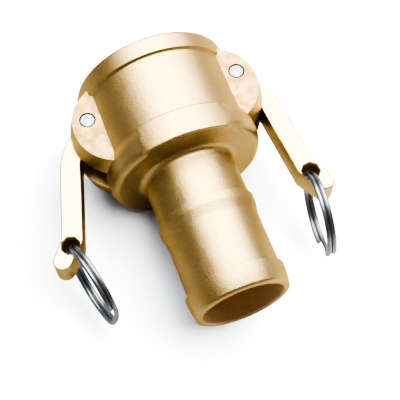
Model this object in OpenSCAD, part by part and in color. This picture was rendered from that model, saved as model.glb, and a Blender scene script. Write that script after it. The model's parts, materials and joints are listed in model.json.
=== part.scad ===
// Female camlock coupling with a barbed hose tail, lying on its side.
// Origin: centre of the mouth face. +Y points out of the mouth, the hose tail runs along -Y,
// the hinge pins stand along Z, and the two cam arms are on the +X and -X sides.

/* [Head] */
// Radius of the mouth socket that takes the adapter
mouth_r = 27; // [26.6:0.1:27.3]
// Outer radius of the head
head_r = 32; // [31.6:0.1:32.4]
// Outer radius of the bead round the mouth
bead_r = 33.3; // [33:0.1:34]
// Width of the bead along the axis
bead_w = 8.4; // [7.5:0.1:9]
// Distance from the mouth to the step of the belt
belt_start = 36.2; // [35:0.1:37.5]
// Outer radius of the belt
belt_r = 33.1; // [32.9:0.1:33.3]
// Length of the head from the mouth to its underside
head_len = 48.4; // [47:0.1:49.5]

/* [Hose tail] */
// Length of the whole coupling along its axis
overall_len = 110.9; // [108:0.1:114]
// Radius of the plain neck and of the barrel between the barbs
neck_r = 19.65; // [19.3:0.05:19.9]
// Radius of the bore through the tail
tail_bore_r = 17.1; // [16.5:0.1:17.5]
// Distance from the mouth to the first barb
first_barb = 69.4; // [66:0.1:72]
// Crest radius of the first barb
first_barb_r = 20.85; // [20.4:0.05:21.2]
// Distance from the mouth to the end barb
end_barb = 101.2; // [98:0.1:103]
// Crest radius of the end barb
end_barb_r = 21.05; // [20.6:0.05:21.4]

/* [Ears] */
// Half of the gap between a pair of ears
ear_inner = 7; // [6.8:0.1:7.4]
// Distance from the middle to the flat outer face of an ear
ear_face = 16.54; // [16:0.02:17]
// Radius of an ear's outline at its outer face
ear_r = 19.1; // [18.6:0.1:19.6]
// How much wider an ear is at its inner side
ear_flare = 1.9; // [0.5:0.1:2.2]
// Distance of the ear outline's centre from the axis
ear_x = 20.9; // [20.4:0.1:21.4]
// Distance of the ear outline's centre from the mouth
ear_y = 23.1; // [22.6:0.1:23.6]

/* [Hinge pins] */
// Distance of each pin from the axis
pin_x = 32.9; // [32.5:0.1:33.3]
// Distance of each pin from the mouth
pin_y = 19.1; // [18.7:0.1:19.5]
// Radius of a pin
pin_r = 3.2; // [3:0.05:3.4]
// Radial clearance of an arm on its pin
pin_play = 0.06; // [0.03:0.01:0.1]

/* [Cam arms] */
// Half of an arm's thickness
arm_half = 6.2; // [5.8:0.1:6.5]
// Distance from the pin's axis to the handle's inner face
handle_in = 4.55; // [4.4:0.05:4.9]
// Distance from the pin's axis to the handle's outer face
handle_out = 13.15; // [12.8:0.05:13.5]
// Radius of the cam lobe
cam_r = 7; // [6.7:0.1:7.1]
// Radius of the curved shoulder between cam and handle
shoulder_r = 28; // [26:0.5:30]
// Distance from the pin to the ring hole, along the handle
hole_y = 50.8; // [50:0.1:52]
// Width of the eight-sided ring hole across its flats
hole_w = 6.9; // [6.6:0.1:7]
// Angle of the left arm from the coupling's axis
left_arm_deg = 16.2; // [0:0.2:30]
// Angle of the right arm from the coupling's axis
right_arm_deg = 4.6; // [0:0.2:30]

/* [Split rings] */
// Radius from a ring's centre to the middle of its wire
ring_r = 17; // [16.6:0.1:17.4]
// Diameter of the ring wire
wire_d = 2; // [1.8:0.05:2.05]
// Angle of the left ring from its arm, towards the tail
left_ring_deg = 29.6; // [0:0.2:35]
// Angle of the right ring from its arm, towards the tail
right_ring_deg = 11.4; // [0:0.2:35]
// How far both rings tip down in their holes
ring_droop = 16; // [10:0.5:16.5]
// How far the left ring leans sideways in its hole
left_ring_lean = 3; // [0:0.5:3]
// How far the right ring leans sideways in its hole
right_ring_lean = 2; // [0:0.5:3]

/* [Hidden] */

facets = 128;                    // facets of a full circle where surfaces are round
brass = [0.78, 0.6, 0.29];
pale_brass = [0.9, 0.82, 0.66];
steel = [0.75, 0.76, 0.78];
black_rubber = [0.08, 0.08, 0.08];

bead_round = 1.4;                // corner radius of the bead
belt_round = 1.6;                // corner radius of the belt
neck_round = 3;                  // fillet between the underside and the neck
lip_round = 1.5;                 // rounding of the tail's end
wall_overlap = 2;                // how far a cutter runs past what it cuts

gasket_top = 33.5;               // the gasket lies in a groove this far from the mouth
gasket_h = 6.35;
gasket_out_r = 28.2;
gasket_in_r = 20.6;
gasket_squeeze = 0.05;           // the rubber is this much bigger than its groove
seat_r = 20;                     // bore just under the gasket

window_half = 10.1;              // half length of the cam window along the axis
pin_squeeze = 0.01;              // the ears hold the pin by this much
pin_sink = 0.1;                  // a pin's end lies this far under the ear's face
pin_chamfer = 0.3;

cam_x = -2.16;                   // centre of the cam lobe, off the pin's axis
cam_y = 0.78;
shoulder_y = 17;                 // where the shoulder's arc meets the handle
bend_y = 48.4;                   // the handle bends outwards here
bend_r = 4.3;
tip_x = 12.75;                   // round thumb tip
tip_y = 57;
tip_r = 3.95;
hole_x = 9.45;
hole_chamfer = 0.7;

ring_shift = 1.05;               // the wire lies off the hole's middle, against its outer wall

// Points of an arc about [x, y], from angle a to angle b.
function arc(x, y, r, a, b, n = 6) =
    [for (i = [0:n]) [x + r * cos(a + (b - a) * i / n), y + r * sin(a + (b - a) * i / n)]];

// Half of the casting's outside: each point is [radius, distance from the mouth].
head_outline = concat(
    [[0, 0]],
    arc(bead_r - bead_round, bead_round, bead_round, -90, 0),
    arc(bead_r - bead_round, bead_w - bead_round, bead_round, 0, 80),
    [[head_r, bead_w + 1], [head_r, belt_start], [belt_r - 0.4, belt_start + 0.5]],
    arc(belt_r - belt_round, head_len - belt_round, belt_round, 0, 80),
    arc(neck_r + neck_round, head_len + 1 + neck_round, neck_round, 270, 180));
tail_outline = concat(
    [[neck_r, first_barb], [first_barb_r, first_barb + 0.3], [first_barb_r - 0.2, first_barb + 3.5],
     [neck_r, first_barb + 8], [neck_r, end_barb], [end_barb_r, end_barb + 0.3]],
    arc(end_barb_r - 0.9 - lip_round, overall_len - lip_round, lip_round, 0, 90),
    [[0, overall_len]]);

// The space inside, in the same form.
inside_outline = [
    [0, -wall_overlap], [mouth_r + 1.2, -wall_overlap], [mouth_r + 1.2, 0], [mouth_r, 1.2],
    [mouth_r, gasket_top], [gasket_out_r, gasket_top], [gasket_out_r, gasket_top + gasket_h],
    [seat_r, gasket_top + gasket_h], [tail_bore_r, gasket_top + gasket_h + 3],
    [tail_bore_r, overall_len - 0.5], [tail_bore_r + 0.5, overall_len],
    [tail_bore_r + 0.5, overall_len + wall_overlap], [0, overall_len + wall_overlap]];

// Turns an outline about the coupling's axis, with the mouth at y = 0 and the tail along -Y.
module turned(outline)
    rotate([90, 0, 0]) rotate_extrude($fn = facets) polygon(outline);

// One ear: a cone slab above the middle plane, widest at its inner side.
module ear()
    translate([ear_x, -ear_y, ear_inner])
        cylinder(h = ear_face - ear_inner, r1 = ear_r + ear_flare, r2 = ear_r, $fn = facets);

// What is cut for one arm: the cam's window through the wall and the pin's hole through both ears.
module arm_cuts() {
    translate([mouth_r - wall_overlap, -pin_y - window_half, -ear_inner])
        cube([head_r - mouth_r + 2 * wall_overlap, 2 * window_half, 2 * ear_inner]);
    translate([pin_x, -pin_y, 0])
        cylinder(h = 2 * (ear_face + wall_overlap), r = pin_r - pin_squeeze, center = true, $fn = facets);
}

module coupler_body() color(brass)
    difference() {
        union() {
            turned(concat(head_outline, tail_outline));
            for (side = [0, 1], face = [0, 1])
                mirror([side, 0, 0]) mirror([0, 0, face]) ear();
        }
        turned(inside_outline);
        for (side = [0, 1]) mirror([side, 0, 0]) arm_cuts();
    }

module gasket() color(black_rubber)
    turned([[gasket_in_r, gasket_top], [gasket_out_r + gasket_squeeze, gasket_top],
            [gasket_out_r + gasket_squeeze, gasket_top + gasket_h], [gasket_in_r, gasket_top + gasket_h]]);

module hinge_pin() {
    half = ear_face - pin_sink;
    translate([pin_x, -pin_y, 0]) rotate_extrude($fn = facets)
        polygon([[0, -half], [pin_r - pin_chamfer, -half], [pin_r, pin_chamfer - half],
                 [pin_r, half - pin_chamfer], [pin_r - pin_chamfer, half], [0, half]]);
}
module hinge_pin_left() color(steel) mirror([1, 0, 0]) hinge_pin();
module hinge_pin_right() color(steel) hinge_pin();

// The arm's side view, about its pin, with the handle along -Y.
module arm_outline() {
    translate([cam_x, -cam_y]) circle(r = cam_r, $fn = facets);
    intersection() {
        translate([handle_out - shoulder_r, -shoulder_y]) circle(r = shoulder_r, $fn = 2 * facets);
        polygon([[cam_x, cam_r - cam_y], [handle_out + 1, cam_r - cam_y], [handle_out + 1, -shoulder_y],
                 [handle_in, -shoulder_y], [handle_in, -12.5], [cam_x, -cam_r - cam_y]]);
    }
    translate([handle_in, -bend_y]) square([handle_out - handle_in, bend_y - shoulder_y + 1]);
    hull() {
        translate([hole_x - 0.6, -bend_y]) circle(r = bend_r, $fn = 32);
        translate([tip_x, -tip_y]) circle(r = tip_r, $fn = 32);
    }
}

// The eight-sided ring hole, or its chamfer with a wider far end.
module hole_cut(h, w1, w2)
    rotate([0, 0, 22.5]) cylinder(h = h, r1 = w1 / 2 / cos(22.5), r2 = w2 / 2 / cos(22.5), $fn = 8);

module cam_arm(arm_deg)
    translate([pin_x, -pin_y, 0]) rotate([0, 0, arm_deg]) difference() {
        translate([0, 0, -arm_half]) linear_extrude(2 * arm_half) arm_outline();
        cylinder(h = 3 * arm_half, r = pin_r + pin_play, center = true, $fn = facets);
        translate([hole_x, -hole_y, 0]) {
            translate([0, 0, -arm_half - 1]) hole_cut(2 * arm_half + 2, hole_w, hole_w);
            for (face = [0, 1]) mirror([0, 0, face])
                translate([0, 0, arm_half - hole_chamfer])
                    hole_cut(2 * hole_chamfer, hole_w, hole_w + 4 * hole_chamfer);
        }
    }
module cam_arm_left() color(pale_brass) mirror([1, 0, 0]) cam_arm(left_arm_deg);
module cam_arm_right() color(pale_brass) cam_arm(right_arm_deg);

// A split ring: two turns of wire side by side, through the arm's hole and tipped over in it.
module split_ring(arm_deg, ring_deg, lean)
    translate([pin_x, -pin_y, 0]) rotate([0, 0, arm_deg])
        translate([hole_x, -hole_y, 0]) rotate([0, 0, -ring_deg]) rotate([0, -lean, 0])
            translate([0, ring_shift - ring_r * cos(ring_droop), -ring_r * sin(ring_droop)])
                rotate([0, 90, 0]) rotate_extrude($fn = facets) translate([ring_r, 0]) {
                    for (turn = [-1, 1]) translate([0, turn * wire_d / 2]) circle(d = wire_d, $fn = 32);
                    square(wire_d, center = true);
                }
module split_ring_left() color(steel)
    mirror([1, 0, 0]) split_ring(left_arm_deg, left_ring_deg, left_ring_lean);
module split_ring_right() color(steel)
    split_ring(right_arm_deg, right_ring_deg, right_ring_lean);

coupler_body();
gasket();
hinge_pin_left();
hinge_pin_right();
cam_arm_left();
cam_arm_right();
split_ring_left();
split_ring_right();
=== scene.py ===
import json
import math
import bmesh
import bpy
import numpy as np
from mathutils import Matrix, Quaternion, Vector, geometry


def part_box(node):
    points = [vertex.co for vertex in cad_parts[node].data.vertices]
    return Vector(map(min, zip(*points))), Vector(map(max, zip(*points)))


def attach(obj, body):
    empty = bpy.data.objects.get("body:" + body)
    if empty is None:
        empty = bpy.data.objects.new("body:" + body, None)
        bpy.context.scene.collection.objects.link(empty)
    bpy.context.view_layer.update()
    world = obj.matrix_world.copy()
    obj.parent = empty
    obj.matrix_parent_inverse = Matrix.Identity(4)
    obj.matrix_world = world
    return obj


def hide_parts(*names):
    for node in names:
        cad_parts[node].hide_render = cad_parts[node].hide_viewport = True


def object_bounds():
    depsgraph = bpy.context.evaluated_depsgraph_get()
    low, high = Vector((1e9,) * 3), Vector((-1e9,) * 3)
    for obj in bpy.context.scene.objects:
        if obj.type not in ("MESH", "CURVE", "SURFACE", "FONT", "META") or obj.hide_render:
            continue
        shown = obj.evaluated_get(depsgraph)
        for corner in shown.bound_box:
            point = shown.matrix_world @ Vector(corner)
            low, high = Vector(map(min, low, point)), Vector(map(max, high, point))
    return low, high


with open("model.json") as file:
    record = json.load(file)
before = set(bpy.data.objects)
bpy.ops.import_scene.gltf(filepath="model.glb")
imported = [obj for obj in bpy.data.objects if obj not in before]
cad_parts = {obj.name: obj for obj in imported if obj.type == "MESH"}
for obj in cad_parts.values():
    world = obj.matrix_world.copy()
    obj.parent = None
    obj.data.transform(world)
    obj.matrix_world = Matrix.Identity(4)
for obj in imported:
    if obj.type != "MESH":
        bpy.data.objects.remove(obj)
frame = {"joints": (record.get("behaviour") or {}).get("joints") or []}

cadBox = [list(corner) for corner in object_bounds()]
mm = 0.001               # the pieces' sizes are in millimetres, the studio's and the camera's in metres
scene = bpy.context.scene

# Directions: +Y points out of the mouth and the tail runs along -Y, the hinge pins stand along Z.


# A soft step from 0 to 1: 3t^2 - 2t^3, held at both ends.
def softStep(t):
    t = np.clip(t, 0, 1)
    return t * t * (3 - 2 * t)


# A path through corners, each an x, a y and a fillet radius. The fillet's arc touches both sides at
# radius * tan(turn / 2) from the corner, and its middle lies on the line that halves the corner.
def roundedPath(corners, closed=True, stepDeg=9, longest=3):
    c = np.array(corners, float)
    count, parts = len(c), []
    for i in range(count):
        p, r = c[i, :2], c[i, 2]
        a, b = c[i - 1, :2] - p, c[(i + 1) % count, :2] - p
        a, b = a / max(np.linalg.norm(a), 1e-9), b / max(np.linalg.norm(b), 1e-9)
        turn = math.pi - math.acos(np.clip(a @ b, -1, 1))
        if r <= 0 or turn < 0.02 or (not closed and i in (0, count - 1)):
            parts.append(p[None])
            continue
        start, end = p + a * r * math.tan(turn / 2), p + b * r * math.tan(turn / 2)
        middle = p + (a + b) / np.linalg.norm(a + b) * r / math.cos(turn / 2)
        pieces = max(2, math.ceil(math.degrees(turn) / stepDeg), math.ceil(r * turn / longest))
        t = np.linspace(0, 1, pieces + 1)[:, None]
        swing = np.sin((1 - t) * turn) * (start - middle) + np.sin(t * turn) * (end - middle)
        parts.append(middle + swing / math.sin(turn))
    path = np.concatenate(parts)
    gap = np.linalg.norm(path - np.roll(path, 1, axis=0), axis=1)
    keep = gap > 1e-4
    keep[0] |= not closed
    return path[keep]


# A closed loop moved outwards by a distance along the average normal of its two sides,
# lengthened at a corner so that the sides themselves move by that distance.
def offsetLoop(loop, distance):
    ahead = np.roll(loop, -1, axis=0) - loop
    ahead /= np.linalg.norm(ahead, axis=1)[:, None]
    behind = np.roll(ahead, 1, axis=0)
    sign = np.sign(np.sum(loop[:, 0] * np.roll(loop[:, 1], -1) - np.roll(loop[:, 0], -1) * loop[:, 1]))
    out = np.stack([ahead[:, 1] + behind[:, 1], -ahead[:, 0] - behind[:, 0]], axis=1) * sign
    out /= np.linalg.norm(out, axis=1)[:, None]
    lengthen = np.sum(out * np.stack([ahead[:, 1], -ahead[:, 0]], axis=1) * sign, axis=1)
    return loop + out * (distance / np.maximum(lengthen, 0.5))[:, None]


# Quads between neighbours of a grid of rows and columns, whose columns and rows may close on themselves.
def gridFaces(rows, columns, closeRows, closeColumns, first=0):
    i = np.arange(rows if closeRows else rows - 1)[:, None]
    j = np.arange(columns if closeColumns else columns - 1)[None]
    i2, j2 = (i + 1) % rows, (j + 1) % columns
    quads = np.stack([i * columns + j, i * columns + j2, i2 * columns + j2, i2 * columns + j], axis=-1)
    return quads.reshape(-1, 4) + first


# Puts points in millimetres and faces into a mesh object, closes its seams and poles and turns
# every face outwards. Edges sharper than the angle stay crisp.
def makePiece(name, points, faces, sharpDeg=38, uv=None):
    mesh = bpy.data.meshes.new(name)
    mesh.from_pydata(np.asarray(points, float).reshape(-1, 3) * mm, [], faces)
    if uv is not None:
        layer = mesh.uv_layers.new(name="alongWire")
        layer.data.foreach_set("uv", uv.ravel())
    work = bmesh.new()
    work.from_mesh(mesh)
    bmesh.ops.remove_doubles(work, verts=work.verts, dist=1e-7)
    bmesh.ops.recalc_face_normals(work, faces=work.faces)
    work.to_mesh(mesh)
    work.free()
    piece = bpy.data.objects.new(name, mesh)
    scene.collection.objects.link(piece)
    smoothPiece(piece, sharpDeg)
    return piece


def smoothPiece(piece, sharpDeg):
    piece.data.polygons.foreach_set("use_smooth", np.ones(len(piece.data.polygons), bool))
    piece.data.set_sharp_from_angle(angle=math.radians(sharpDeg))


# An outline turned round the coupling's axis: radius r and distance d from the mouth become
# (r sin a, -d, r cos a), with the angle a from +Z towards +X.
def turnedPoints(radius, distance, angle):
    flat = np.zeros_like(radius)
    return np.stack([radius * np.sin(angle), flat - distance, radius * np.cos(angle)], axis=-1)


# An outline of radius and height turned round an upright line through centre.
def turnedUpright(name, outline, centre, columns=96, sharpDeg=38):
    a = np.linspace(0, 2 * math.pi, columns, endpoint=False)[None]
    r, z = outline[:, :1], outline[:, 1:] + 0 * a
    points = np.stack([centre[0] + r * np.cos(a), centre[1] + r * np.sin(a), z], axis=-1)
    return makePiece(name, points, gridFaces(*z.shape, False, True).tolist(), sharpDeg)


# Joins and cuts whole solids in turn, then keeps only the finished mesh.
def combineSolids(base, steps, sharpDeg):
    for operation, tool in steps:
        boolean = base.modifiers.new(operation.lower(), "BOOLEAN")
        boolean.operation, boolean.object, boolean.solver = operation, tool, "MANIFOLD"
    bpy.context.view_layer.update()
    finished = bpy.data.meshes.new_from_object(base.evaluated_get(bpy.context.evaluated_depsgraph_get()))
    base.modifiers.clear()
    base.data = finished
    finished.name = base.name
    for _, tool in steps:
        bpy.data.objects.remove(tool)
    smoothPiece(base, sharpDeg)
    return base


def addNode(tree, kind, inputs=None, **settings):
    node = tree.nodes.new("ShaderNode" + kind)
    for key, value in settings.items():
        setattr(node, key, value)
    for key, value in (inputs or {}).items():
        if isinstance(value, bpy.types.NodeSocket):
            tree.links.new(value, node.inputs[key])
        else:
            node.inputs[key].default_value = value
    return node


def math2(tree, operation, a, b=0.0, clamp=False):
    return addNode(tree, "Math", {0: a, 1: b}, operation=operation, use_clamp=clamp).outputs[0]


def remap(tree, value, low, high, toLow=0.0, toHigh=1.0, kind="LINEAR"):
    return addNode(tree, "MapRange", {"Value": value, "From Min": low, "From Max": high, "To Min": toLow,
                                      "To Max": toHigh}, interpolation_type=kind).outputs["Result"]


def mixColour(tree, factor, a, b, blend="MIX"):
    node = addNode(tree, "Mix", data_type="RGBA", blend_type=blend)
    for socket, value in ((node.inputs[0], factor), (node.inputs[6], a), (node.inputs[7], b)):
        if isinstance(value, bpy.types.NodeSocket):
            tree.links.new(value, socket)
        else:
            socket.default_value = value
    return node.outputs[2]


def noise(tree, coordinates, scale, detail=3.0, roughness=0.5, distortion=0.0):
    return addNode(tree, "TexNoise", {"Vector": coordinates, "Scale": scale, "Detail": detail,
                                      "Roughness": roughness, "Distortion": distortion}).outputs["Fac"]


def newGroup(name, inputs, outputs):
    tree = bpy.data.node_groups.new(name, "ShaderNodeTree")
    for label, kind, value in inputs:
        socket = tree.interface.new_socket(label, in_out="INPUT", socket_type="NodeSocket" + kind)
        if value is not None:
            socket.default_value = value
    for label, kind in outputs:
        tree.interface.new_socket(label, in_out="OUTPUT", socket_type="NodeSocket" + kind)
    return tree, tree.nodes.new("NodeGroupInput").outputs, tree.nodes.new("NodeGroupOutput").inputs


def useGroup(tree, group, **inputs):
    node = addNode(tree, "Group", node_tree=group)
    for key, value in inputs.items():
        if isinstance(value, bpy.types.NodeSocket):
            tree.links.new(value, node.inputs[key])
        else:
            node.inputs[key].default_value = value
    return node.outputs


# Grain left by the mould: fine pits and a slower swell, as one height, and a mask of bright specks.
def makeCastGrain():
    tree, given, result = newGroup(
        "castGrain",
        [("Place", "Vector", None), ("Grains", "Float", 1800.0), ("Swell", "Float", 0.5)],
        [("Height", "Float"), ("Specks", "Float"), ("Pits", "Float")])
    fine = noise(tree, given["Place"], given["Grains"], 2.0, 0.5)
    slow = noise(tree, given["Place"], math2(tree, "MULTIPLY", given["Grains"], 0.16), 2.0, 0.5)
    swell = math2(tree, "MULTIPLY", slow, math2(tree, "MULTIPLY", given["Swell"], 4.0))
    tree.links.new(math2(tree, "ADD", fine, swell), result["Height"])
    tree.links.new(remap(tree, fine, 0.50, 0.66), result["Specks"])
    tree.links.new(remap(tree, fine, 0.50, 0.34), result["Pits"])
    return tree


# Where an edge sticks out, broken up by noise so that the wear is uneven.
def makeEdgeWear():
    tree, given, result = newGroup(
        "edgeWear",
        [("Place", "Vector", None), ("Start", "Float", 0.51), ("End", "Float", 0.56),
         ("Breakup", "Float", 400.0)],
        [("Worn", "Float"), ("Sunk", "Float")])
    pointed = addNode(tree, "NewGeometry").outputs["Pointiness"]
    patchy = remap(tree, noise(tree, given["Place"], given["Breakup"], 3.0), 0.3, 0.65, 0.35, 1.0)
    ramp = addNode(tree, "MapRange", {"Value": pointed, "From Min": given["Start"],
                                      "From Max": given["End"]}).outputs["Result"]
    tree.links.new(math2(tree, "MULTIPLY", ramp, patchy), result["Worn"])
    tree.links.new(remap(tree, pointed, 0.49, 0.44), result["Sunk"])
    return tree


# Slow change of tone over the metal, between two colours, with a value for the same change of gloss.
def makeMottle():
    tree, given, result = newGroup(
        "mottle",
        [("Place", "Vector", None), ("Main", "Color", None), ("Tint", "Color", None),
         ("Patches", "Float", 90.0), ("Amount", "Float", 0.5)],
        [("Colour", "Color"), ("Tone", "Float")])
    broad = noise(tree, given["Place"], given["Patches"], 5.0, 0.55, 0.4)
    small = noise(tree, given["Place"], math2(tree, "MULTIPLY", given["Patches"], 5.3), 3.0, 0.6)
    both = math2(tree, "ADD", math2(tree, "MULTIPLY", broad, 0.7), math2(tree, "MULTIPLY", small, 0.3))
    tone = remap(tree, both, 0.36, 0.64, kind="SMOOTHSTEP")
    tree.links.new(mixColour(tree, math2(tree, "MULTIPLY", tone, given["Amount"]), given["Main"],
                             given["Tint"]), result["Colour"])
    tree.links.new(tone, result["Tone"])
    return tree


# Fine dust that settles on what faces up, in cloudy patches.
def makeDustFilm():
    tree, given, result = newGroup(
        "dustFilm",
        [("Place", "Vector", None), ("Facing", "Vector", None), ("Amount", "Float", 0.1)],
        [("Dust", "Float")])
    up = addNode(tree, "SeparateXYZ", {0: given["Facing"]}).outputs["Z"]
    cloud = remap(tree, noise(tree, given["Place"], 150.0, 5.0, 0.65), 0.42, 0.72)
    lying = math2(tree, "MULTIPLY", remap(tree, up, 0.1, 0.9, 0.25, 1.0), cloud)
    tree.links.new(math2(tree, "MULTIPLY", lying, given["Amount"], True), result["Dust"])
    return tree


castGrain, edgeWear, mottle, dustFilm = makeCastGrain(), makeEdgeWear(), makeMottle(), makeDustFilm()
print("node groups ready")


def newMaterial(name):
    material = bpy.data.materials.new(name)
    material.use_nodes = True
    tree = material.node_tree
    tree.nodes.clear()
    shader = addNode(tree, "BsdfPrincipled")
    tree.links.new(shader.outputs[0], addNode(tree, "OutputMaterial").inputs["Surface"])
    where = addNode(tree, "TexCoord").outputs
    return material, tree, shader, where


def bumped(tree, shader, height, depth):
    bump = addNode(tree, "Bump", {"Height": height, "Distance": depth * mm})
    tree.links.new(bump.outputs[0], shader.inputs["Normal"])


castBrassFinish = {
    "main": (0.86, 0.588, 0.238, 1), "tint": (0.82, 0.53, 0.195, 1), "worn": (0.92, 0.66, 0.30, 1),
    # inside: the bore's paler colour, painted light for the light that falls in through its opening
    "sunk": (0.50, 0.36, 0.17, 1), "dust": (0.62, 0.54, 0.38, 1), "inside": (0.95, 0.77, 0.50, 1),
    "rim": (1.0, 0.82, 0.50, 1),          # where the surface turns away from the eye
    "inReflections": (0.50, 0.48, 0.45, 1), "paler": 0.9,   # mirrored in brass or lighting the floor
    "grains": 2100.0,        # grains in a metre
    "grainDepth": 0.17,      # millimetres
    "swell": 0.02, "speckle": 0.35,
    "gloss": (0.285, 0.32),  # roughness, from the smooth patches to the dull ones
    "frost": 0.07,           # how much duller the specks are
    "groundFace": 16.54,     # height of the ears' faces, which were ground flat
    "groundGloss": (0.30, 0.46),   # roughness that the grinding adds
    "boreEdge": (17.6, 17.2),      # radii between which the bore begins
    # the last value: how much of the bore's paler colour, painted light, is mixed in
    "boreGloss": 0.45, "borePaintedLight": 0.8,
}
# shared by all the brass
brassWear = {
    "patches": 85.0, "patchAmount": 0.7,       # patches in a metre, and how much they tint
    "wearStart": 0.515, "wearEnd": 0.56,       # pointedness of an edge
    "sunk": 0.3, "worn": 0.8, "dust": 0.16, "dustGloss": 0.25,
}
armBrassFinish = {
    "main": (0.87, 0.625, 0.28, 1), "tint": (0.83, 0.57, 0.23, 1), "worn": (0.94, 0.73, 0.40, 1),
    "sunk": (0.50, 0.36, 0.17, 1), "dust": (0.60, 0.54, 0.42, 1),
    "rim": (1.0, 0.80, 0.50, 1), "inReflections": (0.50, 0.48, 0.45, 1), "paler": 0.9,
    "grains": 2200.0, "grainDepth": 0.02, "swell": 0.3, "speckle": 0.12, "gloss": (0.29, 0.35),
    "frost": 0.03, "groundFace": None,
}


# Sand-cast brass: mottled colour, paler on worn edges, darker in the corners,
# with grain in the height and in the gloss.
def makeBrass(name, s):
    material, tree, shader, where = newMaterial(name)
    place = where["Object"]
    shader.inputs["Metallic"].default_value = 1.0
    shader.inputs["Specular Tint"].default_value = s["rim"]
    tones = useGroup(tree, mottle, Place=place, Main=s["main"], Tint=s["tint"], Patches=brassWear["patches"],
                     Amount=brassWear["patchAmount"])
    grain = useGroup(tree, castGrain, Place=place, Grains=s["grains"], Swell=s["swell"])
    wear = useGroup(tree, edgeWear, Place=place, Start=brassWear["wearStart"],
                    End=brassWear["wearEnd"])
    dust = useGroup(tree, dustFilm, Place=place, Facing=where["Normal"],
                    Amount=brassWear["dust"])["Dust"]
    colour = tones["Colour"]
    layers = ((wear["Sunk"], brassWear["sunk"], "sunk"), (grain["Specks"], s["speckle"], "worn"),
              (grain["Pits"], s["speckle"], "sunk"), (wear["Worn"], brassWear["worn"], "worn"))
    for mask, amount, tone in layers:
        colour = mixColour(tree, math2(tree, "MULTIPLY", mask, amount, True), colour, s[tone])
    rough = remap(tree, tones["Tone"], 0.0, 1.0, *s["gloss"])
    rough = math2(tree, "ADD", rough, math2(tree, "MULTIPLY", grain["Specks"], s["frost"]))
    depth, bore = 1.0, None
    if s["groundFace"] is not None:
        # the ears' faces: at that height and facing straight up or down
        high = addNode(tree, "SeparateXYZ", {0: place}).outputs["Z"]
        high = math2(tree, "COMPARE", math2(tree, "ABSOLUTE", high), s["groundFace"] * mm)
        high.node.inputs[2].default_value = 0.1 * mm
        flat = addNode(tree, "SeparateXYZ", {0: where["Normal"]}).outputs["Z"]
        flat = remap(tree, math2(tree, "ABSOLUTE", flat), 0.97, 0.99)
        ground = math2(tree, "MULTIPLY", high, flat)
        cloudy = remap(tree, noise(tree, place, 240.0, 4.0, 0.6, 0.6), 0.38, 0.62, kind="SMOOTHSTEP")
        dull = remap(tree, cloudy, 0, 1, *s["groundGloss"])
        rough = math2(tree, "ADD", rough, math2(tree, "MULTIPLY", ground, dull))
        depth = remap(tree, ground, 0.0, 1.0, 1.0, 0.3)
        bright = math2(tree, "MULTIPLY", ground, remap(tree, cloudy, 0, 1, 0.5, 0.0))
        colour = mixColour(tree, bright, colour, s["worn"])
        # the bore, which is duller, and paler in colour: the paler colour is painted light, for the light
        # that falls in through the opening
        level = addNode(tree, "VectorMath", {0: place, 1: (1, 0, 1)}, operation="MULTIPLY").outputs[0]
        level = addNode(tree, "VectorMath", {0: level}, operation="LENGTH").outputs["Value"]
        bore = remap(tree, level, *(edge * mm for edge in s["boreEdge"]))
        rough = math2(tree, "ADD", rough, math2(tree, "MULTIPLY", bore, s["boreGloss"]))
    colour = mixColour(tree, dust, colour, s["dust"])
    rough = math2(tree, "ADD", rough, math2(tree, "MULTIPLY", dust, brassWear["dustGloss"]), True)
    # metal seen by another surface is paler, so that its glow doesn't turn the corners orange
    direct = addNode(tree, "LightPath").outputs["Is Camera Ray"]
    colour = mixColour(tree, remap(tree, direct, 0.0, 1.0, s["paler"], 0.0), colour, s["inReflections"])
    # painted light: the bore is turned paler, as if lit through its opening
    if bore is not None:
        colour = mixColour(tree, math2(tree, "MULTIPLY", bore, s["borePaintedLight"]), colour, s["inside"])
    tree.links.new(colour, shader.inputs["Base Color"])
    tree.links.new(rough, shader.inputs["Roughness"])
    height = grain["Height"] if depth == 1.0 else math2(tree, "MULTIPLY", grain["Height"], depth)
    bumped(tree, shader, height, s["grainDepth"])
    return material


castBrass = makeBrass("castBrass", castBrassFinish)
armBrass = makeBrass("armBrass", armBrassFinish)
# inside the arms' ring holes, duller, and darker and browner in colour and edge tint: painted shade, for the
# shade deep in the holes
holeBrassPaintedShade = makeBrass("holeBrassPaintedShade", dict(
    armBrassFinish, main=(0.60, 0.41, 0.19, 1), tint=(0.48, 0.32, 0.14, 1), worn=(0.80, 0.58, 0.28, 1),
    rim=(0.8, 0.6, 0.35, 1), gloss=(0.42, 0.52)))


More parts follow.
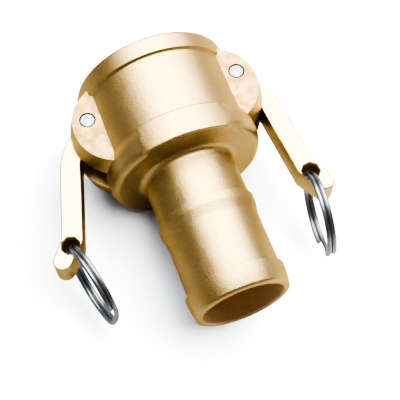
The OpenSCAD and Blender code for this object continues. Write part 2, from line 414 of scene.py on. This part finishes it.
castingSettings = {
    "columns": 300,
    "headRadius": 32.0, "beltRadius": 33.1, "beltStart": 36.2,
    "beltEnd": 48.4, "softCorner": 3.6,   # the belt's lower edge and its rounding beside the pad
    "softBelt": 5.0,              # length of the belt's upper slope where it has no pad
    "slopeRows": (36.1, 41.5),    # distances from the mouth between which that slope is shaped
    "padEnds": (-32.0, 36.0),     # degrees from the top, towards +X
    "padEndWidths": (3.4, 9.0),   # degrees over which each end of the pad fades
    "padLift": 0.25,              # how much higher than the belt the pad's ends stand
    "sideLift": 0.8,              # swelling of the belt beside the +X ears
    "wallDraw": 0.3,              # unevenness of the tail's inner edge
    # radius, distance from the mouth, fillet
    "outside": [
        (0, 0, 0), (33.3, 0, 1.4), (33.3, 8.3, 0.4), (32.0, 8.5, 1.1), (32, 12, 0), (32, 24, 0),
        (32, 33, 0), (32, 34.2, 0), (32, 35.2, 0), (32, 36.2, 0), (32.75, 36.4, 0.1), (33.1, 36.9, 0.3),
        (33.1, 37.6, 0), (33.1, 38.6, 0), (33.1, 39.6, 0), (33.1, 40.4, 0), (33.1, 41.2, 0),
        (33.1, 42, 0), (33.1, 44.4, 0),
        (33.1, 45.4, 0), (33.1, 46.2, 0), (33.1, 46.9, 0), (33.1, 48.4, 0.9), (28, 48.42, 0),
        (19.65, 49.0, 3), (19.65, 56, 0), (19.65, 69.4, 0), (20.85, 69.62, 0.25),
        (20.72, 73.2, 2), (19.65, 77.6, 8), (19.65, 90, 0), (19.65, 101.2, 0), (21.05, 101.45, 0.3),
        (20.55, 106.4, 4), (19.95, 110.9, 1.5), (0, 110.9, 0)],
    "inside": [
        (0, -2, 0), (28.2, -2, 0), (28.2, 0, 0), (27, 1.2, 0.3), (27, 33.5, 0), (28.2, 33.5, 0),
        (28.2, 39.85, 0), (20, 39.85, 0.4), (17.1, 42.9, 2), (17.1, 80, 0), (17.1, 110.2, 0.3),
        (17.6, 110.9, 0), (17.6, 112.9, 0), (0, 112.9, 0)],
    "earCentre": (20.9, -23.1),
    # radius, height, fillet of one ear above the middle plane
    "ear": [(0, 7, 0), (21.0, 7, 0.5), (19.1, 16.54, 0.3), (0, 16.54, 0)],
    # the pin's bore in the same form, with the groove left round the pin's end
    "pinBore": [(0, -20, 0), (3.46, -20, 0), (3.46, -15.0, 0),
                (3.2, -14.8, 0), (3.2, 14.8, 0), (3.46, 15.0, 0),
                (3.46, 20, 0), (0, 20, 0)],
    "window": (25.0, 34.0, 10.1, 7.0),   # the cam's opening: from x, to x, half length, half height
    "windowCorner": 1.2,
}


# The belt is a soft swelling, and between its ends a raised pad with a crisp upper step. The pad is
# flatter than the belt, so that it stands higher towards its ends: lift * (angle / end)^2.
def shapeBelt(radius, distance, angle, s):
    fromTop = np.degrees(np.where(np.cos(angle) >= 0, angle, math.pi - angle))
    fromTop = (fromTop + 180) % 360 - 180
    (low, high), (lowWidth, highWidth) = s["padEnds"], s["padEndWidths"]
    pad = softStep((fromTop - low) / lowWidth + 0.5) * softStep((high - fromTop) / highWidth + 0.5)
    head, belt = s["headRadius"], s["beltRadius"]
    soft = head + (belt - head) * softStep((distance - s["beltStart"]) / s["softBelt"])
    firstRow, lastRow = s["slopeRows"]
    onSlope = (distance > firstRow) & (distance < lastRow) & (radius > 31)
    shaped = np.where(onSlope, soft + (radius - soft) * pad, radius)
    side = softStep((fromTop - 24) / 30) * (1 - softStep((fromTop - 64) / 20))
    lift = pad * s["padLift"] * (fromTop / low) ** 2 * (fromTop < 0) + side * s["sideLift"]
    onBelt = softStep((distance - s["beltStart"]) / 0.7) * (radius > 31.6) * (distance < s["beltEnd"] + 0.01)
    shaped = shaped + lift * onBelt
    # away from the pad the lower corner is a wide arc: r - w + sqrt(w^2 - d^2)
    wide, end = s["softCorner"], s["beltEnd"]
    t = np.clip((distance - (end - wide)) / wide, 0, 1)
    rounded = belt + side * s["sideLift"] - wide * (1 - np.sqrt(1 - t * t))
    corner = (distance > end - wide) & (distance < end + 0.01) & (radius > 28.2)
    return np.where(corner, shaped * pad + np.minimum(shaped, rounded) * (1 - pad), shaped)


def makeCasting(s):
    low = math.radians(s["padEnds"][0])
    fine = np.radians(np.linspace(-0.6, 0.6, 7))
    angle = np.concatenate([np.linspace(-math.pi, math.pi, s["columns"], endpoint=False), low + fine,
                            -math.pi - low + fine])
    angle = np.unique(np.round(angle, 6))[None]
    angle = angle[:, np.concatenate([[True], np.diff(angle[0]) > 1e-3])]
    out = roundedPath(s["outside"], closed=False, stepDeg=12)
    radius, distance = out[:, :1] + 0 * angle, out[:, 1:] + 0 * angle
    radius = shapeBelt(radius, distance, angle, s)
    body = makePiece("couplerCasting", turnedPoints(radius, distance, angle),
                     gridFaces(*radius.shape, False, True).tolist())
    hollow = roundedPath(s["inside"], closed=False, stepDeg=12)
    around = np.linspace(0, 2 * math.pi, 240, endpoint=False)[None]
    radius, distance = hollow[:, :1] + 0 * around, hollow[:, 1:] + 0 * around
    uneven = np.sin(5 * around + 1) + 0.8 * np.sin(11 * around + 2) + 0.6 * np.sin(23 * around)
    radius = radius + s["wallDraw"] * 0.3 * uneven * (distance > 110.5) * (radius > 17)
    void = makePiece("void", turnedPoints(radius, distance, around),
                     gridFaces(*radius.shape, False, True).tolist())
    steps = []
    ear = roundedPath(s["ear"], closed=False, stepDeg=15)
    for side in (-1, 1):
        for face in (-1, 1):
            steps.append(("UNION", turnedUpright("ear", ear * (1, face),
                                                 (side * s["earCentre"][0], s["earCentre"][1]), 200)))
    steps.append(("DIFFERENCE", void))
    bore = roundedPath(s["pinBore"], closed=False)
    nearX, farX, halfLength, halfHeight = s["window"]
    for side, pin in ((-1, "hinge_pin_left"), (1, "hinge_pin_right")):
        lowest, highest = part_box(pin)
        middle = (lowest + highest) / 2 / mm
        steps.append(("DIFFERENCE", turnedUpright("bore", bore, (middle.x, middle.y), 72)))
        corner = s["windowCorner"]
        loop = roundedPath([(-halfLength, -halfHeight, corner), (halfLength, -halfHeight, corner),
                            (halfLength, halfHeight, corner), (-halfLength, halfHeight, corner)])
        # the same loop at both ends of the cut, shrunk to a point to close it
        centre = np.array([[0, 0]])
        rows = np.stack([centre + 0 * loop, loop, loop, centre + 0 * loop])
        x = np.array([nearX, nearX, farX, farX])[:, None] + 0 * rows[..., 0]
        points = np.stack([side * x, middle.y + rows[..., 0], rows[..., 1]], axis=-1)
        steps.append(("DIFFERENCE", makePiece("window", points, gridFaces(*x.shape, False, True).tolist())))
    return combineSolids(body, steps, 32)


casting = makeCasting(castingSettings)
casting.data.materials.clear()
casting.data.materials.append(castBrass)
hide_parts("coupler_body")
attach(casting, "coupler")
print("casting", len(casting.data.polygons))


armSettings = {
    "half": 6.2,                # half of the thickness
    "handleIn": 4.55, "handleOut": 13.15,
    "cam": (-2.16, -0.78, 7.0),
    "shoulder": (28.0, 17.0, 50.0),   # radius, where it meets the handle, degrees it turns through
    "bend": (8.85, -48.4, 4.3), "tip": (12.75, -57.0, 3.92),   # two circles joined by their tangents
    "bendFillet": 9.0,
    "hole": (9.45, -50.8), "holeWidth": 6.9, "holeChamfer": 0.5,
    "pinHole": 3.26,
    "edge": 0.55,               # rounding of the long edges
}


# Where two lines meet, each given by a point and a direction.
def meet(p, d, q, e):
    t = np.linalg.solve(np.array([[d[0], -e[0]], [d[1], -e[1]]]), np.array(q, float) - p)
    return np.array(p, float) + t[0] * np.array(d)


# The arm's side view about its pin, handle along -y: the cam, the shoulder's arc, the straight handle,
# and the thumb tip, whose sides are the outer tangents of the bend's circle and the tip's circle.
def armOutline(s):
    camX, camY, camR = s["cam"]
    radius, joins, turn = s["shoulder"]
    turn = math.radians(turn)
    topY = camY + camR
    tangentY = radius * math.tan(turn / 2) - joins
    slope = (-math.sin(turn), math.cos(turn))
    start = meet((s["handleOut"], tangentY), slope, (0, topY), (1, 0))
    bend, tip = np.array(s["bend"][:2]), np.array(s["tip"][:2])
    ahead = (tip - bend) / np.linalg.norm(tip - bend)
    lean = math.asin((s["bend"][2] - s["tip"][2]) / np.linalg.norm(tip - bend))
    across = np.array([-ahead[1], ahead[0]])
    outer = across * math.cos(lean) + ahead * math.sin(lean)
    inner = -across * math.cos(lean) + ahead * math.sin(lean)
    along = [np.array([n[1], -n[0]]) for n in (outer, inner)]
    touch = [tip + n * s["tip"][2] for n in (outer, inner)]
    end = tip + ahead * s["tip"][2]
    down = (0, -1)
    outerBend = meet((s["handleOut"], 0), down, touch[0], along[0])
    innerBend = meet((s["handleIn"], 0), down, touch[1], along[1])
    tipCorners = [meet(touch[i], along[i], end, across) for i in (0, 1)]
    return roundedPath([
        (*start, 4), (s["handleOut"], tangentY, radius - 0.01), (*outerBend, s["bendFillet"]),
        (*tipCorners[0], s["tip"][2] - 0.02), (*tipCorners[1], s["tip"][2] - 0.02),
        (*innerBend, s["bend"][2]), (s["handleIn"], -12.5, 5), (-1.0, camY - camR, 2),
        (camX - camR, camY - camR, camR - 0.05), (camX - camR, topY, camR - 0.05)], stepDeg=6, longest=0.8)


# A plate carried up from its lower face to its upper one. Each loop is moved sideways by its own edge
# profile, an arc of the edge's radius outside and a chamfer round a hole, and the two faces are
# filled with triangles between the loops.
def makePlate(name, outline, holes, half, edge, place, sharpDeg=38):
    arc = np.linspace(0, math.pi / 2, 5)
    rise, inset = edge * np.sin(arc), edge * (1 - np.cos(arc))
    outerHeights = np.concatenate([[-half], (-half + edge) - rise[::-1], half - edge + rise, [half]])
    outerInsets = np.concatenate([[edge + 0.15], inset[::-1], inset, [edge + 0.15]])
    points, faces, capLoops, first = [], [], [[], []], 0
    loops = [(outline, outerHeights, -outerInsets)]
    for loop, chamfer in holes:
        r = 0.12             # small rounding where the chamfer starts and ends
        ledge = half - chamfer
        heights = np.array([half, half, half - r, ledge + r, ledge - r, ledge - 0.5])
        moved = np.array([chamfer + 0.2, chamfer + 0.05, chamfer - r, r, 0.02, 0])
        loops.append((loop, np.concatenate([-heights, heights[::-1]]),
                      np.concatenate([moved, moved[::-1]])))
    for loop, heights, moved in loops:
        rows = np.stack([offsetLoop(loop, m) for m in moved])
        z = heights[:, None] + 0 * rows[..., 0]
        points.append(np.concatenate([rows, z[..., None]], axis=-1).reshape(-1, 3))
        faces += gridFaces(*z.shape, False, True, first).tolist()
        count = len(loop)
        capLoops[0].append((first, count))
        capLoops[1].append((first + (len(heights) - 1) * count, count))
        first += z.size
    points = np.concatenate(points)
    for cap in capLoops:
        index = np.concatenate([np.arange(a, a + n) for a, n in cap])
        flat = [Vector(p) for p in points[index, :2]]
        edges, at = [], 0
        for _, n in cap:
            edges += [(at + i, at + (i + 1) % n) for i in range(n)]
            at += n
        _, _, triangles, *_ = geometry.delaunay_2d_cdt(flat, edges, [], 1, 1e-6)
        for triangle in triangles:
            middle = points[index[list(triangle)], :2].mean(axis=0)
            if not any(insideLoop(middle, points[a:a + n, :2]) for a, n in cap[1:]):
                faces.append([int(index[i]) for i in triangle])
    return makePiece(name, place(points), faces, sharpDeg)


# True if a ray from the point crosses the loop an odd number of times.
def insideLoop(p, loop):
    q = np.roll(loop, -1, axis=0)
    spans = (loop[:, 1] > p[1]) != (q[:, 1] > p[1])
    rise = np.where(spans, q[:, 1] - loop[:, 1], 1)
    crossing = loop[:, 0] + (p[1] - loop[:, 1]) * (q[:, 0] - loop[:, 0]) / rise
    return bool(np.sum(spans & (crossing > p[0])) % 2)


jointPlace = {joint["name"]: np.array(joint["pos_m"]) / mm for joint in frame["joints"]}


# The arm's own frame: about its hinge pin and turned so that its ring hole is where the ring hangs.
def armPlace(side, s):
    word = "left" if side < 0 else "right"
    lowest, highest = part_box("hinge_pin_" + word)
    pin = np.array((lowest + highest) / 2) / mm
    to = (jointPlace[word + "_ring_swing"] - pin) * (side, 1, 1)
    turn = math.atan2(to[1], to[0]) - math.atan2(s["hole"][1], s["hole"][0])
    spin = np.array([[math.cos(turn), math.sin(turn), 0], [-math.sin(turn), math.cos(turn), 0], [0, 0, 1]])
    return lambda points: (points @ spin) * (side, 1, 1) + (pin[0], pin[1], 0)


# What is cut for the split ring: an eight-sided hole with rounded corners that widens by its chamfer
# at both faces.
def holeCutter(s, place):
    octagon = s["holeWidth"] / 2 / math.cos(math.pi / 8)
    corners = [(s["hole"][0] + octagon * math.cos(a), s["hole"][1] + octagon * math.sin(a), 0.7)
               for a in (np.arange(8) + 0.5) * math.pi / 4]
    loop = roundedPath(corners, stepDeg=12)
    chamfer, r = s["holeChamfer"], 0.15
    heights = s["half"] + np.array([1, 1, 0, r - chamfer, -r - chamfer])
    moved = np.array([1 + chamfer, 1 + chamfer, chamfer, r * 0.7, 0])
    rows = np.stack([offsetLoop(loop, m) for m in moved])
    rows[0] = s["hole"]
    z = heights[:, None] + 0 * rows[..., 0]
    upper = np.concatenate([rows, z[..., None]], axis=-1)
    points = np.concatenate([upper, upper[::-1] * (1, 1, -1)])
    faces = gridFaces(*points.shape[:2], False, True).tolist()
    return makePiece("hole", place(points.reshape(-1, 3)), faces)


def makeArm(side, s):
    circle = np.linspace(0, 2 * math.pi, 64, endpoint=False)
    pinHole = s["pinHole"] * np.stack([np.cos(circle), np.sin(circle)], axis=1)
    word = "Left" if side < 0 else "Right"
    place = armPlace(side, s)
    arm = makePlate("camArm" + word, armOutline(s), [(pinHole, 0.4)], s["half"], s["edge"], place)
    cutter = holeCutter(s, place)
    # the hole's walls take the second slot: the brass with painted shade
    cutter.data.polygons.foreach_set("material_index", np.ones(len(cutter.data.polygons), np.int32))
    for solid in (arm, cutter):
        solid.data.materials.append(armBrass)
        solid.data.materials.append(holeBrassPaintedShade)
    combineSolids(arm, [("DIFFERENCE", cutter)], 38)
    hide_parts("cam_arm_" + word.lower())
    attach(arm, "arm_" + word.lower())
    print("arm", word, len(arm.data.polygons))


for side in (-1, 1):
    makeArm(side, armSettings)


pinSettings = {
    "radius": 3.19, "chamfer": 0.42, "dome": 0.1, "domeStart": 2.3, "columns": 96,
    "colour": (0.55, 0.57, 0.59, 1), "dull": (0.40, 0.42, 0.44, 1), "gloss": (0.46, 0.58),
    "grime": (0.035, 0.033, 0.03, 1), "tarnish": (0.2, 0.19, 0.18, 1),
    "turningMarks": 2600.0,      # rings in a metre
}


# Zinc-bright steel: fine turning marks round the pin's own axis, and a duller cloud.
def makePinSteel(name, centre, s):
    material, tree, shader, where = newMaterial(name)
    shader.inputs["Metallic"].default_value = 1.0
    centred = addNode(tree, "Mapping", {"Vector": where["Object"],
                                        "Location": (-centre[0], -centre[1], 0)}).outputs[0]
    rings = addNode(tree, "TexWave", {"Vector": centred, "Scale": s["turningMarks"] / 20, "Distortion": 0.6,
                                      "Detail": 2.0}, wave_type="RINGS", rings_direction="Z")
    cloud = noise(tree, centred, 700.0, 4.0, 0.6)
    wear = useGroup(tree, edgeWear, Place=where["Object"], Start=0.53, End=0.62)
    colour = mixColour(tree, remap(tree, cloud, 0.4, 0.66), s["colour"], s["dull"])
    colour = mixColour(tree, math2(tree, "MULTIPLY", wear["Sunk"], 0.6, True), colour, s["tarnish"])
    # old grease on the chamfer and in the gap beside it
    level = addNode(tree, "VectorMath", {0: centred, 1: (1, 1, 0)}, operation="MULTIPLY").outputs[0]
    level = addNode(tree, "VectorMath", {0: level}, operation="LENGTH").outputs["Value"]
    greasy = remap(tree, level, (s["radius"] - s["chamfer"]) * mm, s["radius"] * mm)
    colour = mixColour(tree, greasy, colour, s["grime"])
    tree.links.new(colour, shader.inputs["Base Color"])
    tree.links.new(remap(tree, cloud, 0.35, 0.7, *s["gloss"]), shader.inputs["Roughness"])
    height = math2(tree, "ADD", math2(tree, "MULTIPLY", rings.outputs["Fac"], 0.3), cloud)
    bumped(tree, shader, height, 0.008)
    return material


for word in ("left", "right"):
    s = pinSettings
    lowest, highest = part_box("hinge_pin_" + word)
    middle, top = (lowest + highest) / 2 / mm, highest.z / mm
    r, c = s["radius"], s["chamfer"]
    half = [(0, top + s["dome"] - 0.01, 0), (s["domeStart"], top - 0.01, 1.5),
            (r - c, top - 0.02, 0.1), (r, top - c, 0.1)]
    outline = roundedPath(half + [(x, -z, f) for x, z, f in half[::-1]], closed=False)
    pin = turnedUpright("hingePin" + word.title(), outline, (middle.x, middle.y), s["columns"])
    pin.data.materials.append(makePinSteel("pinSteel" + word.title(), middle * mm, s))
    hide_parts("hinge_pin_" + word)
    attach(pin, "coupler")
print("pins ready")


ringSettings = {
    "radius": 17.0, "wire": 2.0, "droop": 16.0, "shift": 1.05,
    "left": {"swing": 29.6, "lean": 3.0, "cut": 200.0},
    "right": {"swing": 11.4, "lean": 2.0, "cut": 232.0},
    "turns": 1.83, "rampDeg": 50.0,
    "rowsPerTurn": 132, "sides": 20,
    "colour": (0.50, 0.505, 0.515, 1), "dull": (0.30, 0.305, 0.315, 1), "gloss": (0.285, 0.36),
    "grime": (0.12, 0.12, 0.13, 1),
}


def turnAbout(axis, degrees):
    return np.array(Quaternion(axis, math.radians(degrees)).to_matrix())


# A circle of wire carried round nearly two turns. The wire lies half a diameter to one side of the
# ring's plane, crosses to the other side over the ramp, and its ends are cut with a small rounding.
def makeRing(word, s):
    own = s[word]
    side = -1 if word == "left" else 1
    place = armPlace(side, armSettings)
    t = np.linspace(0, 1, int(s["rowsPerTurn"] * s["turns"]))
    total = 360 * s["turns"]
    endRound = s["wire"] * 0.12 / s["radius"] / math.radians(total)
    t = np.concatenate([[0, 0, endRound * 0.3], t[1:-1], [1 - endRound * 0.3, 1, 1]])
    thick = np.ones(len(t))
    thick[[0, -1]], thick[[1, -2]], thick[[2, -3]] = 0, 0.84, 0.95
    turn = np.radians(own["cut"] + total * t)
    middle = total / 2
    across = softStep((total * t - middle) / s["rampDeg"] + 0.5) * 2 - 1
    w = s["wire"] / 2
    around = np.linspace(0, 2 * math.pi, s["sides"], endpoint=False)[None]
    out = s["radius"] + w * thick[:, None] * np.cos(around)
    level = (across * w)[:, None] + w * thick[:, None] * np.sin(around)
    # the ring's plane: up is towards the arm's hole, sideways is along the arm's thickness
    d = math.radians(s["droop"])
    up, sideways = np.array([0, math.cos(d), math.sin(d)]), np.array([0, -math.sin(d), math.cos(d)])
    centre = np.array([0, s["shift"], 0]) - s["radius"] * up
    outwards = np.cos(turn)[:, None, None] * up + np.sin(turn)[:, None, None] * sideways
    points = centre + out[..., None] * outwards + level[..., None] * np.array([1, 0, 0])
    tip = turnAbout((0, 0, 1), -own["swing"]) @ turnAbout((0, 1, 0), -own["lean"])
    points = points.reshape(-1, 3) @ tip.T + (*armSettings["hole"], 0)
    faces = gridFaces(len(t), s["sides"], False, True)
    along = np.repeat(t * total / 360, s["sides"]).reshape(len(t), -1)
    uRows = np.stack([along[:-1], along[:-1], along[1:], along[1:]], axis=-1)
    j = np.arange(s["sides"])[None] + 0 * np.arange(len(t) - 1)[:, None]
    v = np.stack([j, j + 1, j + 1, j], axis=-1) / s["sides"]
    uv = np.stack([uRows, v], axis=-1).reshape(-1, 2)
    return makePiece("splitRing" + word.title(), place(points), faces.tolist(), 40, uv)


# Drawn spring steel: streaks along the wire in colour, gloss and height, read from the wire's own map.
def makeRingSteel(s):
    material, tree, shader, where = newMaterial("ringSteel")
    shader.inputs["Metallic"].default_value = 1.0
    drawn = addNode(tree, "Mapping", {"Vector": where["UV"], "Scale": (5.0, 26.0, 1.0)}).outputs[0]
    streaks = noise(tree, drawn, 1.0, 4.0, 0.55)
    thin = addNode(tree, "Mapping", {"Vector": where["UV"], "Scale": (14.0, 90.0, 1.0)}).outputs[0]
    fine = noise(tree, thin, 1.0, 2.0)
    spots = noise(tree, where["Object"], 900.0, 4.0, 0.65)
    wear = useGroup(tree, edgeWear, Place=where["Object"], Start=0.53, End=0.62)
    tone = math2(tree, "ADD", math2(tree, "MULTIPLY", streaks, 0.7), math2(tree, "MULTIPLY", spots, 0.3))
    tone = remap(tree, tone, 0.4, 0.62)
    colour = mixColour(tree, tone, s["colour"], s["dull"])
    colour = mixColour(tree, math2(tree, "MULTIPLY", wear["Sunk"], 0.5, True), colour, s["grime"])
    tree.links.new(colour, shader.inputs["Base Color"])
    tree.links.new(remap(tree, streaks, 0.35, 0.65, *s["gloss"]), shader.inputs["Roughness"])
    bumped(tree, shader, math2(tree, "ADD", streaks, math2(tree, "MULTIPLY", fine, 0.4)), 0.02)
    return material


ringSteel = makeRingSteel(ringSettings)
for word in ("left", "right"):
    ring = makeRing(word, ringSettings)
    ring.data.materials.append(ringSteel)
    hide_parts("split_ring_" + word)
    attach(ring, "ring_" + word)
print("rings ready")


gasketSettings = {
    # radius, distance from the mouth, fillet
    "outline": [(20.6, 33.5, 0.7), (28.2, 33.5, 0.5), (28.2, 39.85, 0.5), (20.6, 39.85, 0.7),
                (20.6, 37.2, 0), (20.42, 36.7, 0.1), (20.6, 36.2, 0)],
    "columns": 200,
    "colour": (0.018, 0.018, 0.019, 1), "bloom": (0.06, 0.058, 0.055, 1),
    "dust": (0.2, 0.19, 0.17, 1),
}


def makeGasket(s):
    loop = roundedPath(s["outline"], stepDeg=15)
    angle = np.linspace(0, 2 * math.pi, s["columns"], endpoint=False)[None]
    radius, distance = loop[:, :1] + 0 * angle, loop[:, 1:] + 0 * angle
    gasket = makePiece("gasketRing", turnedPoints(radius, distance, angle),
                       gridFaces(*radius.shape, True, True).tolist())
    material, tree, shader, where = newMaterial("gasketRubber")
    cloud = noise(tree, where["Object"], 260.0, 5.0, 0.65)
    grain = useGroup(tree, castGrain, Place=where["Object"], Grains=3200.0, Swell=0.2)
    dust = useGroup(tree, dustFilm, Place=where["Object"], Facing=where["Normal"], Amount=0.3)["Dust"]
    colour = mixColour(tree, remap(tree, cloud, 0.45, 0.75), s["colour"], s["bloom"])
    colour = mixColour(tree, dust, colour, s["dust"])
    tree.links.new(colour, shader.inputs["Base Color"])
    tree.links.new(remap(tree, cloud, 0.3, 0.7, 0.42, 0.62), shader.inputs["Roughness"])
    bumped(tree, shader, grain["Height"], 0.02)
    gasket.data.materials.append(material)
    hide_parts("gasket")
    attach(gasket, "coupler")


makeGasket(gasketSettings)
print("gasket ready")


studioSettings = {
    "floorHalf": 3.0, "floorFades": (0.16, 0.45),            # metres
    "floorSeen": 1.05, "floorMirrored": 0.15,     # how pale the floor is to the eye, and in the metal
    "card": 0.30, "cardReaches": (0.0, 0.05),     # glow of the card, and metres over which it begins
    "look": "AgX - Very High Contrast",
    "surroundings": {"left": 0.18, "right": 0.17, "back": 0.13, "onMatt": 0.06, "seen": 4.5},
    # middle, size across and along, strength, and the point it faces
    "overhead": {"at": (0.25, 0.35, 0.60), "size": (1.02, 0.9), "power": 15.5, "aim": (0.25, 0.35, 0),
                 "colour": (0.96, 1.0, 1.08)},
    # lights the floor only, so that its shadows are deep enough
    "floorKey": {"at": (0.30, -0.15, 0.70), "size": (0.66, 0.66), "power": 24.0, "aim": (0, -0.05, 0)},
    "rightFill": {"at": (0.95, 0.45, 0.15), "size": (0.6, 0.5), "power": 0.1, "aim": (0, 0, 0)},
}


def addSoftbox(name, s, only=None):
    data = bpy.data.lights.new(name, "AREA")
    data.shape, data.size, data.size_y = "RECTANGLE", *s["size"]
    data.energy = s["power"]
    data.color = s.get("colour", (1, 1, 1))
    lamp = bpy.data.objects.new(name, data)
    lamp.location = s["at"]
    lamp.rotation_euler = (Vector(s["aim"]) - Vector(s["at"])).to_track_quat("-Z", "Y").to_euler()
    lamp.visible_camera = False
    scene.collection.objects.link(lamp)
    if only is not None:
        lit = bpy.data.collections.new(name + "Lights")
        lit.objects.link(only)
        lamp.light_linking.receiver_collection = lit


def addFloor(s):
    half = s["floorHalf"] / mm
    z = cadBox[0][2] / mm
    corners = np.array([[-half, -half, z], [half, -half, z], [half, half, z], [-half, half, z]])
    floor = makePiece("studioFloor", corners, [[0, 1, 2, 3]])
    material, tree, shader, where = newMaterial("floorPaint")
    seen = addNode(tree, "LightPath").outputs["Is Camera Ray"]
    pale = remap(tree, seen, 0.0, 1.0, s["floorMirrored"], s["floorSeen"])
    matt = addNode(tree, "BsdfDiffuse", {"Color": pale}).outputs[0]
    # a white card on the +X side, which only the metal mirrors
    side = addNode(tree, "SeparateXYZ", {0: where["Object"]}).outputs["X"]
    card = remap(tree, side, *s["cardReaches"], 0.0, s["card"], "SMOOTHSTEP")
    card = math2(tree, "MULTIPLY", card, math2(tree, "SUBTRACT", 1.0, seen))
    glowing = addNode(tree, "Emission", {"Strength": card}).outputs[0]
    matt = addNode(tree, "AddShader", {0: matt, 1: glowing}).outputs[0]
    # far from the coupling the floor turns as pale as the air, so that there is no horizon
    away = addNode(tree, "VectorMath", {0: where["Object"]}, operation="LENGTH").outputs["Value"]
    far = math2(tree, "MULTIPLY", remap(tree, away, *s["floorFades"], kind="SMOOTHSTEP"), seen)
    glow = addNode(tree, "Emission", {"Strength": s["surroundings"]["seen"]}).outputs[0]
    top = addNode(tree, "MixShader", {0: far, 1: matt, 2: glow}).outputs[0]
    under = addNode(tree, "NewGeometry").outputs["Backfacing"]
    both = addNode(tree, "MixShader", {0: under, 1: top, 2: addNode(tree, "BsdfTransparent").outputs[0]})
    tree.links.new(both.outputs[0], tree.nodes["Material Output"].inputs["Surface"])
    tree.nodes.remove(shader)
    floor.data.materials.append(material)
    return floor


def addSurroundings(s):
    world = bpy.data.worlds.new("studioAir")
    scene.world = world
    world.use_nodes = True
    tree = world.node_tree
    air = tree.nodes["Background"]
    way = addNode(tree, "TexCoord").outputs["Generated"]
    parts = addNode(tree, "SeparateXYZ", {0: way}).outputs
    level = remap(tree, parts["X"], -0.7, 0.8, s["left"], s["right"], "SMOOTHSTEP")
    behind = remap(tree, parts["Y"], -0.1, -0.7, 0.0, 1.0, "SMOOTHSTEP")
    level = math2(tree, "ADD", math2(tree, "MULTIPLY", level, math2(tree, "SUBTRACT", 1.0, behind)),
                  math2(tree, "MULTIPLY", behind, s["back"]))
    path = addNode(tree, "LightPath").outputs
    shiny = math2(tree, "SUBTRACT", 1.0, path["Is Diffuse Ray"])
    level = remap(tree, shiny, 0.0, 1.0, s["onMatt"], level)
    level = math2(tree, "MAXIMUM", level, math2(tree, "MULTIPLY", path["Is Camera Ray"], s["seen"]))
    tree.links.new(level, air.inputs["Strength"])
    air.inputs["Color"].default_value = (1, 1, 1, 1)


floor = addFloor(studioSettings)
addSurroundings(studioSettings["surroundings"])
addSoftbox("overheadSoftbox", studioSettings["overhead"])
addSoftbox("rightSoftbox", studioSettings["rightFill"])
addSoftbox("floorSoftbox", studioSettings["floorKey"], only=floor)
scene.view_settings.view_transform = "AgX"
scene.view_settings.look = studioSettings["look"]
print("studio ready")


cameraSettings = {
    "azimuth": -19.4,      # degrees round the vertical, 0 looks along the tail towards the mouth
    "elevation": 65.3,     # degrees above the horizon
    "roll": -1.5,          # degrees
    "distance": 0.392,     # metres from the aimed point
    "aimAlong": 0.562,     # the aimed point's place along the coupling, from the mouth
    "lens": 85.3,
}


def addCamera(s):
    lowest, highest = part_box("coupler_body")
    aim = Vector((0, highest.y + (lowest.y - highest.y) * s["aimAlong"], 0))
    a, e = math.radians(s["azimuth"]), math.radians(s["elevation"])
    back = Vector((math.sin(a) * math.cos(e), -math.cos(a) * math.cos(e), math.sin(e)))
    data = bpy.data.cameras.new("camera")
    data.lens = s["lens"]
    data.clip_start = 0.01
    cam = bpy.data.objects.new("camera", data)
    cam.location = aim + back * s["distance"]
    cam.rotation_mode = "QUATERNION"
    roll = Quaternion((0, 0, 1), math.radians(s["roll"]))
    cam.rotation_quaternion = (-back).to_track_quat("-Z", "Y") @ roll
    scene.collection.objects.link(cam)
    scene.camera = cam


addCamera(cameraSettings)
